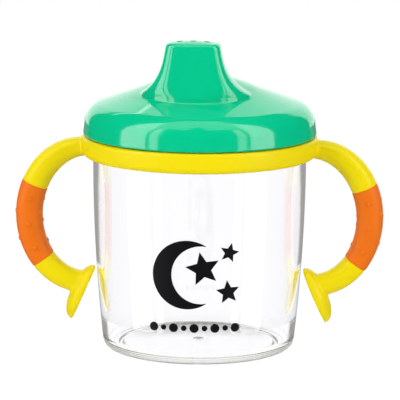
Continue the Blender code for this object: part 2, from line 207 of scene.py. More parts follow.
def mesh_object(name: str, builder: bmesh.types.BMesh) -> bpy.types.Object:
    """Close a bmesh into an object at the origin with its faces pointing out.

    Args:
        name: The object's name.
        builder: The finished bmesh, which is freed.

    Returns:
        The new object.
    """
    bmesh.ops.remove_doubles(builder, verts=builder.verts, dist=MERGE_DISTANCE)
    bmesh.ops.recalc_face_normals(builder, faces=builder.faces)
    mesh = bpy.data.meshes.new(name)
    builder.to_mesh(mesh)
    builder.free()
    return link_object(name, mesh)


def carrier_object(name: str, points: Sequence[Point], path: bool) -> bpy.types.Object:
    """Make an object of bare points for a node tree to start from.

    Args:
        name: The object's name.
        points: The points.
        path: Whether each point is joined to the one after it.

    Returns:
        The new object.
    """
    mesh = bpy.data.meshes.new(name)
    edges = [(index, index + 1) for index in range(len(points) - 1)] if path else []
    mesh.from_pydata(points, edges, [])
    return link_object(name, mesh)


def skin(name: str, rings: Sequence[Sequence[Point]], ends: Ends = Ends.CAPPED) -> bpy.types.Object:
    """Skin rings of equally many points into one piece.

    Args:
        name: The object's name.
        rings: The rings, in order along the piece.
        ends: What becomes of the first and the last ring.

    Returns:
        The new object.
    """
    builder = bmesh.new()
    loops = [[builder.verts.new(point) for point in ring] for ring in rings]
    count = len(rings[0])
    spans = len(loops) if ends is Ends.JOINED else len(loops) - 1
    for row in range(spans):
        here = loops[row]
        there = loops[(row + 1) % len(loops)]
        for index in range(count):
            after = (index + 1) % count
            builder.faces.new((here[index], here[after], there[after], there[index]))
    if ends is Ends.CAPPED:
        for loop in (loops[0], loops[-1]):
            hub = builder.verts.new(sum((vert.co for vert in loop), Vector()) / count)
            for index in range(count):
                builder.faces.new((loop[index], loop[(index + 1) % count], hub))
    return mesh_object(name, builder)


def turned(name: str, outline: Sequence[Flat], ends: Ends,
           steps: int = TURN_STEPS) -> bpy.types.Object:
    """Turn an outline about the upright axis.

    Args:
        name: The object's name.
        outline: Its (radius, height) points.
        ends: What becomes of the first and the last point's ring.
        steps: How many steps the turn has.

    Returns:
        The new object.
    """
    return skin(name, [circle(radius, height, steps) for radius, height in outline], ends)


@dataclass(frozen=True)
class Bar:
    """A straight upright bar with an oval section, which is added to a piece or cut from it."""

    half_width: float
    half_depth: float
    centre: Flat
    bottom: float
    top: float
    squareness: float = 2.0
    points: int = 48

    def build(self) -> bpy.types.Object:
        """Make the bar.

        Returns:
            The bar as a closed mesh.
        """
        section = oval(self.half_width, self.half_depth, self.squareness, self.points)
        return skin("bar", [[(x + self.centre[0], y + self.centre[1], height) for x, y in section]
                            for height in (self.bottom, self.top)])


def settle(piece: bpy.types.Object) -> None:
    """Turn a piece's live modifiers into plain mesh.

    Args:
        piece: The piece, which loses its modifiers.
    """
    graph = bpy.context.evaluated_depsgraph_get()
    mesh = bpy.data.meshes.new_from_object(piece.evaluated_get(graph))
    piece.modifiers.clear()
    mesh.name = piece.name
    piece.data = mesh


def combine(piece: bpy.types.Object, other: bpy.types.Object, join: Join) -> None:
    """Add another closed mesh to a piece, or cut it away.

    Args:
        piece: The piece that changes.
        other: The other mesh, which is used up.
        join: Whether it is added or cut away.
    """
    modifier = piece.modifiers.new("combine", "BOOLEAN")
    modifier.operation = join.value
    modifier.solver = "EXACT"
    modifier.object = other
    settle(piece)
    bpy.data.objects.remove(other, do_unlink=True)


def smooth(piece: bpy.types.Object, crisp_degrees: float) -> None:
    """Shade a piece smooth, with edges steeper than an angle kept crisp."""
    piece.data.shade_smooth()
    piece.data.set_sharp_from_angle(angle=math.radians(crisp_degrees))


# Node trees


class NodeTree:
    """A small helper that adds nodes to a tree and links them."""

    def __init__(self, tree: bpy.types.NodeTree) -> None:
        """Hold the tree that nodes go into."""
        self.tree = tree

    def feed(self, node: bpy.types.Node, feeds: dict[str | int, object]) -> None:
        """Link or set inputs of a node.

        Args:
            node: The node.
            feeds: What each input takes: a socket to link, or a plain value.
        """
        for key, value in feeds.items():
            if isinstance(value, bpy.types.NodeSocket):
                self.tree.links.new(value, node.inputs[key])
            else:
                node.inputs[key].default_value = value

    def add(self, kind: str, feeds: dict[str | int, object] | None = None,
            **values: object) -> bpy.types.Node:
        """Add a node, set its plain properties and feed its inputs.

        Args:
            kind: Blender's identifier of the node.
            feeds: What each input takes: a socket to link, or a plain value.
            values: Properties to set on it.

        Returns:
            The new node.
        """
        node = self.tree.nodes.new(kind)
        for key, value in values.items():
            setattr(node, key, value)
        self.feed(node, feeds or {})
        return node

    def math(self, operation: str, *terms: float | bpy.types.NodeSocket) -> bpy.types.NodeSocket:
        """Add one step of a calculation.

        Args:
            operation: Blender's name of the operation.
            terms: Its terms: sockets or plain numbers.

        Returns:
            The socket of the result.
        """
        node = self.add("ShaderNodeMath", dict(enumerate(terms)), operation=operation)
        return node.outputs["Value"]

    def show(self, shader: bpy.types.NodeSocket) -> None:
        """Let a shader be what a material shows."""
        self.feed(self.tree.nodes["Material Output"], {"Surface": shader})


def new_group(name: str, kind: str, takes: dict[str, Socket], gives: dict[str, Socket]) -> NodeTree:
    """Start a node group with named sockets.

    Args:
        name: The group's name.
        kind: Blender's identifier of the tree.
        takes: The group's inputs.
        gives: The group's outputs.

    Returns:
        A helper that holds the new tree.
    """
    tree = bpy.data.node_groups.new(name, kind)
    for in_out, sockets in (("INPUT", takes), ("OUTPUT", gives)):
        for label, socket in sockets.items():
            tree.interface.new_socket(label, in_out=in_out, socket_type=socket.value)
    return NodeTree(tree)


def new_material(name: str) -> tuple[bpy.types.Material, NodeTree]:
    """Start a material with nodes.

    Args:
        name: The material's name.

    Returns:
        The material, and a helper that holds its tree.
    """
    material = bpy.data.materials.new(name)
    material.use_nodes = True
    return material, NodeTree(material.node_tree)


def run_tree(carrier: bpy.types.Object, tree: bpy.types.NodeTree, values: dict[str, object]) -> None:
    """Run a node tree on a carrier and keep its result as plain mesh.

    Args:
        carrier: The object whose points the tree starts from.
        tree: The Geometry Nodes tree.
        values: Values of the tree's named inputs.
    """
    modifier = carrier.modifiers.new("nodes", "NODES")
    modifier.node_group = tree
    for item in tree.interface.items_tree:
        if item.item_type == "SOCKET" and item.in_out == "INPUT" and item.name in values:
            modifier[item.identifier] = values[item.name]
    settle(carrier)


def end_tree(kit: NodeTree, instances: bpy.types.NodeSocket, finish: bpy.types.NodeSocket) -> None:
    """End a tree: make its instances real, shade them smooth and dress them.

    Args:
        kit: The tree.
        instances: The socket of the instances.
        finish: The socket of the material that they take.
    """
    real = kit.add("GeometryNodeRealizeInstances", {"Geometry": instances})
    shade = kit.add("GeometryNodeSetShadeSmooth", {"Geometry": real.outputs["Geometry"]})
    dress = kit.add("GeometryNodeSetMaterial",
                    {"Geometry": shade.outputs["Geometry"], "Material": finish})
    kit.add("NodeGroupOutput", {"Geometry": dress.outputs["Geometry"]})


def bump_tree() -> bpy.types.NodeTree:
    """Tree that sets a low round bump on each point, standing along the point's out direction.

    Returns:
        The tree, made once.
    """
    existing = bpy.data.node_groups.get("grip_bumps")
    if existing:
        return existing
    takes = {"Geometry": Socket.GEOMETRY, "Bump radius": Socket.NUMBER,
             "Bump height": Socket.NUMBER, "Finish": Socket.FINISH}
    kit = new_group("grip_bumps", "GeometryNodeTree", takes, {"Geometry": Socket.GEOMETRY})
    start = kit.add("NodeGroupInput").outputs
    ball = kit.add("GeometryNodeMeshIcoSphere", {"Subdivisions": BUMP_FINENESS, "Radius": 1.0})
    wide, high = start["Bump radius"], start["Bump height"]
    size = kit.add("ShaderNodeCombineXYZ", {"X": wide, "Y": wide, "Z": high})
    out = kit.add("GeometryNodeInputNamedAttribute", {"Name": "out"}, data_type="FLOAT_VECTOR")
    turn = kit.add("FunctionNodeAlignRotationToVector", {"Vector": out.outputs["Attribute"]},
                   axis="Z")
    bumps = kit.add("GeometryNodeInstanceOnPoints", {
        "Points": start["Geometry"], "Instance": ball.outputs["Mesh"],
        "Rotation": turn.outputs["Rotation"], "Scale": size.outputs["Vector"]})
    end_tree(kit, bumps.outputs["Instances"], start["Finish"])
    return kit.tree


def rib_tree() -> bpy.types.NodeTree:
    """Tree that sweeps a round rib along a path and repeats it round the upright axis.

    Returns:
        The tree, made once.
    """
    existing = bpy.data.node_groups.get("thread_ribs")
    if existing:
        return existing
    takes = {"Geometry": Socket.GEOMETRY, "Rib radius": Socket.NUMBER, "Starts": Socket.COUNT,
             "Start spacing": Socket.NUMBER, "Finish": Socket.FINISH}
    kit = new_group("thread_ribs", "GeometryNodeTree", takes, {"Geometry": Socket.GEOMETRY})
    start = kit.add("NodeGroupInput").outputs
    path = kit.add("GeometryNodeMeshToCurve", {"Mesh": start["Geometry"]})
    profile = kit.add("GeometryNodeCurvePrimitiveCircle",
                      {"Resolution": RIB_SIDES, "Radius": start["Rib radius"]}, mode="RADIUS")
    rib = kit.add("GeometryNodeCurveToMesh", {
        "Curve": path.outputs["Curve"], "Profile Curve": profile.outputs["Curve"],
        "Fill Caps": True})
    copies = kit.add("GeometryNodeMeshLine", {"Count": start["Starts"], "Offset": (0.0, 0.0, 0.0)})
    index = kit.add("GeometryNodeInputIndex").outputs["Index"]
    turn = kit.add("ShaderNodeCombineXYZ", {"Z": kit.math("MULTIPLY", index, start["Start spacing"])})
    ribs = kit.add("GeometryNodeInstanceOnPoints", {
        "Points": copies.outputs["Mesh"], "Instance": rib.outputs["Mesh"],
        "Rotation": turn.outputs["Vector"]})
    end_tree(kit, ribs.outputs["Instances"], start["Finish"])
    return kit.tree


# Finishes


def moulding_group() -> bpy.types.ShaderNodeTree:
    """Shader group with the faint unevenness of a moulded surface.

    Returns:
        A group that puts out a tinted colour, a roughness and a bump height, made once.
    """
    existing = bpy.data.node_groups.get("moulded_surface")
    if existing:
        return existing
    takes = {"Colour": Socket.COLOUR, "Tint spread": Socket.NUMBER, "Roughness": Socket.NUMBER,
             "Roughness spread": Socket.NUMBER, "Grain size": Socket.NUMBER}
    gives = {"Colour": Socket.COLOUR, "Roughness": Socket.NUMBER, "Height": Socket.NUMBER}
    kit = new_group("moulded_surface", "ShaderNodeTree", takes, gives)
    start = kit.add("NodeGroupInput").outputs
    place = kit.add("ShaderNodeTexCoord").outputs["Object"]
    broad = kit.add("ShaderNodeTexNoise",
                    {"Vector": place, "Scale": BROAD_SCALE, "Detail": BROAD_DETAIL})
    grain = kit.add("ShaderNodeTexNoise",
                    {"Vector": place, "Scale": start["Grain size"], "Detail": GRAIN_DETAIL})
    centred = kit.math("SUBTRACT", broad.outputs["Fac"], 0.5)
    tint = kit.math("MULTIPLY_ADD", centred, start["Tint spread"], 1.0)
    shade = kit.add("ShaderNodeVectorMath", {0: start["Colour"], "Scale": tint}, operation="SCALE")
    rough = kit.math("MULTIPLY_ADD", centred, start["Roughness spread"], start["Roughness"])
    kit.add("NodeGroupOutput", {"Colour": shade.outputs["Vector"], "Roughness": rough,
                                "Height": grain.outputs["Fac"]})
    return kit.tree


@dataclass(frozen=True)
class MouldedFinish:
    """An opaque moulded plastic or rubber."""

    name: str
    colour: Colour
    roughness: float
    tint_spread: float = 0.05
    roughness_spread: float = 0.06
    grain_size: float = 2600.0
    grain_depth: float = 0.00002
    specular: float = 0.5
    glow: float = 0.0
    glow_radius: Colour = (0.004, 0.003, 0.002)

    def own_values(self) -> dict[str | int, object]:
        """Plain inputs of the main shader that this kind of finish sets."""
        return {"Specular IOR Level": self.specular, "Subsurface Weight": self.glow,
                "Subsurface Radius": self.glow_radius}

    def make(self) -> bpy.types.Material:
        """Build the material, once.

        Returns:
            The material with this finish's name.
        """
        existing = bpy.data.materials.get(self.name)
        if existing:
            return existing
        material, kit = new_material(self.name)
        surface = kit.add("ShaderNodeGroup", node_tree=moulding_group())
        kit.feed(surface, {
            "Colour": (*self.colour, 1.0), "Tint spread": self.tint_spread,
            "Roughness": self.roughness, "Roughness spread": self.roughness_spread,
            "Grain size": self.grain_size})
        bump = kit.add("ShaderNodeBump",
                       {"Distance": self.grain_depth, "Height": surface.outputs["Height"]})
        kit.feed(kit.tree.nodes["Principled BSDF"], {
            "Base Color": surface.outputs["Colour"], "Roughness": surface.outputs["Roughness"],
            "Normal": bump.outputs["Normal"], **self.own_values()})
        return material


@dataclass(frozen=True)
class ClearFinish(MouldedFinish):
    """A clear moulded plastic wall."""

    roughness: float = 0.01
    tint_spread: float = 0.01
    roughness_spread: float = 0.02
    grain_size: float = 60.0
    grain_depth: float = 0.00003
    refraction: float = 1.49

    def own_values(self) -> dict[str | int, object]:
        """Plain inputs of the main shader that this kind of finish sets."""
        return {"Transmission Weight": 1.0, "IOR": self.refraction}


GREEN_GLOSS = MouldedFinish(
    "green_gloss", (0.0, 0.545, 0.262), 0.10, tint_spread=0.03, roughness_spread=0.04,
    grain_size=900.0, grain_depth=0.000004)
YELLOW_SATIN = MouldedFinish(
    "yellow_satin", (0.85, 0.69, 0.0), 0.34, roughness_spread=0.08, grain_depth=0.000012,
    specular=0.11)
ORANGE_SOFT = MouldedFinish(
    "orange_soft", (0.83, 0.165, 0.001), 0.50, tint_spread=0.07, roughness_spread=0.10,
    grain_depth=0.00003, specular=0.16)
SILICONE = MouldedFinish(
    "milky_silicone", (0.80, 0.80, 0.78), 0.45, grain_depth=0.00001, glow=0.35)
PRINT_INK = MouldedFinish(
    "black_print", (0.006, 0.006, 0.007), 0.42, tint_spread=0.2, grain_depth=0.00001,
    specular=0.08)
CLEAR_WALL = ClearFinish("clear_wall", (0.985, 0.985, 0.995))


def place_piece(piece: bpy.types.Object, body: Body, finish: MouldedFinish,
                stands_for: Sequence[str] = ()) -> None:
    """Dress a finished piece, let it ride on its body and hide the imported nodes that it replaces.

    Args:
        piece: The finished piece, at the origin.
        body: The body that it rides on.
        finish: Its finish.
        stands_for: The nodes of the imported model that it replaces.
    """
    piece.data.materials.clear()
    piece.data.materials.append(finish.make())
    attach(piece, body.value)
    if stands_for:
        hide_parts(*stands_for)
    LOG.info("%s rides on %s with %d faces", piece.name, body.value, len(piece.data.polygons))


# The thread shared by the neck and the lid


@dataclass
class Thread:
    """A coarse thread of several starts that lifts the lid six millimetres in one turn."""

    lead: float = 0.006
    starts: int = 3
    rib_radius: float = 0.00062
    wall_gap: float = 0.0001
    turn: float = 1.9
    steps: int = 72

    def ribs(self, name: str, radius: float, bottom: float, finish: MouldedFinish,
             phase: float) -> bpy.types.Object:
        """Make the ribs of one side of the thread.

        Args:
            name: The object's name.
            radius: Radius of the ribs' middle line.
            bottom: Height at which each rib starts.
            finish: The finish that the ribs take.
            phase: Angle at which the first rib starts.

        Returns:
            The ribs as one plain mesh.
        """
        points = []
        for angle in spread(0.0, self.turn, self.steps):
            height = bottom + self.lead * angle / FULL_TURN
            points.append((radius * math.cos(angle + phase), radius * math.sin(angle + phase), height))
        ribs = carrier_object(name, points, path=True)
        run_tree(ribs, rib_tree(), {
            "Rib radius": self.rib_radius, "Starts": self.starts,
            "Start spacing": FULL_TURN / self.starts, "Finish": finish.make()})
        return ribs


# The tumbler


@dataclass
class Tumbler:
    """The clear cup with its foot, bowed wall, ledge, neck and rim."""

    radius: float = 0.0375
    foot_radius: float = 0.0339
    ledge_height: float = 0.0681
    rim_height: float = field(default_factory=lambda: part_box("tumbler")[1].z)
    wall: float = 0.0022
    floor: float = 0.0026
    base_corner: float = 0.0034
    recess_radius: float = 0.0283
    recess_depth: float = 0.0008
    recess_slope: float = 0.0019
    recess_middle: float = 0.0004
    floor_corner: float = 0.0022
    ledge_width: float = 0.0013
    rim_round: float = 0.0010
    gate_radius: float = 0.0019
    gate_height: float = 0.0006
    gate_share: float = 0.95
    thread_drop: float = 0.0042
    turn_steps: int = 256
    base_steps: int = 40
    wall_steps: int = 24
    rim_steps: int = 10
    floor_steps: int = 12
    gate_steps: int = 7
    crisp_degrees: float = 14.0

    @property
    def neck_radius(self) -> float:
        """Outside radius of the neck."""
        return self.radius - self.ledge_width

    def wall_radius(self, height: float) -> float:
        """Outside radius of the wall at a height."""
        bow = (self.ledge_height - height) / (self.ledge_height - self.base_corner)
        return self.radius - (self.radius - self.foot_radius) * bow * bow

    def outside(self) -> list[Flat]:
        """The outline from the middle of the foot up to the ledge.

        Returns:
            Its (radius, height) points.
        """
        shelf = self.recess_radius - self.recess_slope
        points = [(self.recess_middle, self.recess_depth), (shelf, self.recess_depth)]
        points.append((self.recess_radius, 0.0))
        corner = (self.foot_radius - self.base_corner, self.base_corner)
        points += arc(corner, self.base_corner, -QUARTER, 0.0, self.base_steps)
        heights = spread(self.base_corner, self.ledge_height, self.wall_steps)[1:]
        return points + [(self.wall_radius(height), height) for height in heights]

    def inside(self) -> list[Flat]:
        """The outline from the ledge over the rim and down to the gate mark on the floor.

        Returns:
            Its (radius, height) points.
        """
        neck, lip = self.neck_radius, self.rim_round
        inner = neck - self.wall
        top = self.rim_height - lip
        points = [(neck, self.ledge_height)]
        points += arc((neck - lip, top), lip, 0.0, QUARTER, self.rim_steps)
        points += arc((inner + lip, top), lip, QUARTER, math.pi, self.rim_steps)
        low = self.floor + self.floor_corner
        for height in reversed(spread(low, self.ledge_height, self.wall_steps)[1:]):
            points.append((min(self.wall_radius(height) - self.wall, inner), height))
        bend = self.wall_radius(low) - self.wall - self.floor_corner
        points += arc((bend, low), self.floor_corner, 0.0, -QUARTER, self.floor_steps)
        for turn in spread(0.0, self.gate_share * QUARTER, self.gate_steps):
            height = self.floor + self.gate_height * math.sin(turn)
            points.append((self.gate_radius * math.cos(turn), height))
        return points

    def build(self) -> None:
        """Make the wall and the neck's thread, and dress them."""
        outline = self.outside() + self.inside()
        wall = turned("tumbler_wall", outline, Ends.CAPPED, self.turn_steps)
        smooth(wall, self.crisp_degrees)
        place_piece(wall, Body.TUMBLER, CLEAR_WALL, ["tumbler"])
        wall.visible_shadow = False
        thread = Thread()
        ribs = thread.ribs("neck_thread", self.neck_radius + thread.wall_gap,
                           self.rim_height - self.thread_drop, CLEAR_WALL, phase=0.0)
        place_piece(ribs, Body.TUMBLER, CLEAR_WALL)


@dataclass(frozen=True)
class Star:
    """One five-pointed star of the print, placed from the print's middle."""

    along: float
    up: float
    radius: float
    turn: float


@dataclass
class PrintedMotif:
    """A plain black print on the front of the tumbler: a moon, stars and a row of dots."""

    tumbler: Tumbler
    middle_height: float = 0.0327
    moon_along: float = -0.0026
    moon_radius: float = 0.0122
    bite_share: float = 0.84
    bite_shift: float = 0.40
    moon_steps: int = 48
    stars: tuple[Star, ...] = (
        Star(0.0030, 0.0022, 0.0062, 0.2),
        Star(0.0122, 0.0078, 0.0036, -0.25),
        Star(0.0118, -0.0062, 0.0044, 0.1),
    )
    star_waist: float = 0.46
    dots: int = 9
    dot_spacing: float = 0.0036
    dot_drop: float = 0.0190
    dot_radii: Flat = (0.0016, 0.0010)
    dot_points: int = 32
    lift: float = 0.00004
    thickness: float = 0.00005
    grid: float = 0.0007

    def wrap(self, along: float, height: float, out: float) -> Point:
        """Place of a print point on the wall.

        Args:
            along: Distance round the wall from its front.
            height: Height above the table.
            out: Distance outside the wall.

        Returns:
            The point in the cup's frame.
        """
        radius = self.tumbler.wall_radius(height) + out
        angle = -QUARTER + along / self.tumbler.wall_radius(height)
        return (radius * math.cos(angle), radius * math.sin(angle), height)

    def fan(self, centre: Flat, outline: Sequence[Flat]) -> Patches:
        """Triangles from a middle to each stretch of an outline."""
        after = [*outline[1:], outline[0]]
        return [[centre, first, second] for first, second in zip(outline, after)]

    def star(self, star: Star) -> Patches:
        """Cut a star into patches.

        Args:
            star: The star.

        Returns:
            Its patches.
        """
        centre = (star.along, self.middle_height + star.up)
        points = []
        for index in range(2 * STAR_ARMS):
            reach = star.radius if index % 2 == 0 else star.radius * self.star_waist
            angle = QUARTER + star.turn + math.pi * index / STAR_ARMS
            points.append((centre[0] + reach * math.cos(angle), centre[1] + reach * math.sin(angle)))
        return self.fan(centre, points)

    def dot(self, index: int) -> Patches:
        """Cut one round dot of the row into patches.

        Args:
            index: Which dot it is, from the left.

        Returns:
            Its patches.
        """
        along = (index - (self.dots - 1) / 2) * self.dot_spacing
        centre = (along, self.middle_height - self.dot_drop)
        steps = self.dot_points - 1
        last = FULL_TURN * steps / self.dot_points
        return self.fan(centre, arc(centre, self.dot_radii[index % 2], 0.0, last, steps))

    def moon(self) -> Patches:
        """Cut a crescent that is open to the right into patches.

        Returns:
            Its patches.
        """
        centre = (self.moon_along, self.middle_height)
        radius = self.moon_radius
        bite = self.bite_share * radius
        shift = self.bite_shift * radius
        meet_x = (radius * radius - bite * bite + shift * shift) / (2 * shift)
        meet_y = math.sqrt(radius * radius - meet_x * meet_x)
        outer = math.atan2(meet_y, meet_x)
        inner = math.atan2(meet_y, meet_x - shift)
        steps = self.moon_steps
        rim = arc(centre, radius, outer, FULL_TURN - outer, steps)
        edge = arc((centre[0] + shift, centre[1]), bite, inner, FULL_TURN - inner, steps)
        return [[rim[i], rim[i + 1], edge[i + 1], edge[i]] for i in range(steps)]

    def add_shape(self, builder: bmesh.types.BMesh, patches: Patches) -> None:
        """Join the patches of one shape, cut them finely, wrap them and give them thickness.

        Args:
            builder: The bmesh that the shape goes into.
            patches: The shape, as convex patches of (along, height) points.
        """
        flat = bmesh.new()
        for patch in patches:
            flat.faces.new([flat.verts.new((x, y, 0.0)) for x, y in patch])
        bmesh.ops.remove_doubles(flat, verts=flat.verts, dist=MERGE_DISTANCE)
        place = min(x for patch in patches for x, _ in patch) + self.grid
        high = max(x for patch in patches for x, _ in patch)
        while place < high:
            geometry = flat.verts[:] + flat.edges[:] + flat.faces[:]
            bmesh.ops.bisect_plane(flat, geom=geometry, plane_co=(place, 0.0, 0.0),
                                   plane_no=(1.0, 0.0, 0.0))
            place += self.grid
        front, back = ({vert: builder.verts.new(self.wrap(vert.co.x, vert.co.y, out))
                        for vert in flat.verts} for out in (self.lift + self.thickness, self.lift))
        for face in flat.faces:
            builder.faces.new([front[vert] for vert in face.verts])
            builder.faces.new([back[vert] for vert in reversed(face.verts)])
        for edge in flat.edges:
            if edge.is_boundary:
                first, second = edge.verts
                builder.faces.new((front[first], front[second], back[second], back[first]))
        flat.free()

    def build(self) -> None:
        """Make the print and dress it."""
        shapes = [self.moon()]
        shapes += [self.star(star) for star in self.stars]
        shapes += [self.dot(index) for index in range(self.dots)]
        builder = bmesh.new()
        for patches in shapes:
            self.add_shape(builder, patches)
        motif = mesh_object("printed_motif", builder)
        place_piece(motif, Body.TUMBLER, PRINT_INK)


# The handle ring, its arms and grips


@dataclass
class HandleArm:
    """The sweep of one handle arm, from the ring round to its end pad.

    Angles of the sweep run from straight up at the ring to straight down at the pad.
    """

    ring_radius: float
    ring_top: float
    reach: float = 0.0199
    drop: float = 0.02435
    root_inset: float = 0.0012
    root_drop: float = 0.0047
    half_thickness: tuple[float, float, float] = (0.0032, 0.0047, 0.0038)
    half_depth: tuple[float, float, float] = (0.0040, 0.0052, 0.0042)
    squareness: float = 2.4
    thickest_at: float = 0.40
    grip_top: float = math.radians(26.6)
    grip_end: float = math.radians(-42.0)
    grip_recess: float = 0.0007
    recess_run: float = 0.05
    end: float = math.radians(-87.0)
    steps: int = 90
    points: int = 48
    pad_tilt: float = math.radians(23.8)
    pad_half_length: float = 0.0105
    pad_half_depth: float = 0.0066
    pad_thickness: float = 0.0047
    pad_drop: float = 0.0040
    pad_reach: float = 0.0407
    pad_edge: float = 0.0004
    pad_dome_share: float = 0.80
    pad_squareness: float = 2.2
    pad_steps: int = 12
    pad_points: int = 72

    def place(self, angle: float) -> tuple[Vector, Vector]:
        """Follow the middle line of the right arm.

        Args:
            angle: Angle of the sweep.

        Returns:
            The spot on the middle line, and the direction that is outward there.
        """
        centre_x = self.ring_radius - self.root_inset
        centre_z = self.ring_top - self.root_drop - self.drop
        cos, sin = math.cos(angle), math.sin(angle)
        spot = Vector((centre_x + self.reach * cos, 0.0, centre_z + self.drop * sin))
        along = Vector((-self.reach * sin, 0.0, self.drop * cos)).normalized()
        return spot, Vector((along.z, 0.0, -along.x))

    def swell(self, angle: float, sizes: tuple[float, float, float]) -> float:
        """A size that grows from the root to the thickest place and shrinks to the end.

        Args:
            angle: Angle of the sweep.
            sizes: The size at the root, at the thickest place and at the end.

        Returns:
            The size at the angle.
        """
        root, middle, end = sizes
        share = (QUARTER - angle) / (QUARTER - self.end)
        rising = share < self.thickest_at
        blend = share / self.thickest_at if rising else (1 - share) / (1 - self.thickest_at)
        low = root if rising else end
        return low + (middle - low) * math.sin(min(max(blend, 0.0), 1.0) * QUARTER)

    def section(self, angle: float, inset: float, side: Side, count: int) -> list[Point]:
        """Ring of points round the arm.

        Args:
            angle: Angle of the sweep.
            inset: How far the ring lies below the arm's outer face.
            side: Which handle it is.
            count: How many points the ring has.

        Returns:
            The ring.
        """
        spot, outward = self.place(angle)
        thickness = self.swell(angle, self.half_thickness) - inset
        depth = self.swell(angle, self.half_depth) - inset
        ring = []
        for out, across in oval(thickness, depth, self.squareness, count):
            point = spot + outward * out
            ring.append((side.value * point.x, across, point.z))
        return ring

    def outer_face(self, angle: float, around: float, side: Side) -> tuple[Point, Vector]:
        """One point of the arm's outer face.

        Args:
            angle: Angle of the sweep.
            around: Angle round the arm's section.
            side: Which handle it is.

        Returns:
            The point, and the direction that the face points in.
        """
        spot, outward = self.place(angle)
        thickness = self.swell(angle, self.half_thickness)
        depth = self.swell(angle, self.half_depth)
        along, across = oval_point(around, self.squareness)
        point = spot + outward * (thickness * along)
        normal = outward * (along / thickness) + Vector((0.0, across / depth, 0.0))
        facing = Vector((side.value * normal.x, normal.y, normal.z)).normalized()
        return (side.value * point.x, depth * across, point.z), facing

    def arm(self, side: Side) -> bpy.types.Object:
        """Make the arm, drawn in a little where its grip covers it.

        Args:
            side: Which handle it is.

        Returns:
            The arm as a closed mesh.
        """
        rings = []
        for angle in spread(QUARTER, self.end, self.steps):
            covered = min(angle - self.grip_end, self.grip_top - angle)
            inset = self.grip_recess * min(max(covered / self.recess_run, 0.0), 1.0)
            rings.append(self.section(angle, inset, side, self.points))
        return skin("arm", rings)

    def pad(self, side: Side) -> bpy.types.Object:
        """Make the oval end pad, flat toward the tumbler and rounded on its outer side.

        Args:
            side: Which handle it is.

        Returns:
            The pad as a closed mesh.
        """
        toward = Vector((-math.cos(self.pad_tilt), 0.0, -math.sin(self.pad_tilt)))
        down = Vector((math.sin(self.pad_tilt), 0.0, -math.cos(self.pad_tilt)))
        centre = Vector((self.pad_reach, 0.0, self.place(-QUARTER)[0].z - self.pad_drop))
        rise = self.pad_thickness - self.pad_edge
        layers = [(0.0, 1 - self.pad_edge / self.pad_half_depth), (self.pad_edge, 1.0)]
        for step in range(1, self.pad_steps + 1):
            turn = QUARTER * step / (self.pad_steps + 0.5)
            scale = 1 - self.pad_dome_share * (1 - math.cos(turn))
            layers.append((self.pad_edge + rise * math.sin(turn), scale))
        rings = []
        for depth, scale in layers:
            ring = []
            for length, across in oval(self.pad_half_length * scale, self.pad_half_depth * scale,
                                       self.pad_squareness, self.pad_points):
                spot = centre - toward * depth + down * length
                ring.append((side.value * spot.x, across, spot.z))
            rings.append(ring)
        return skin("pad", rings)


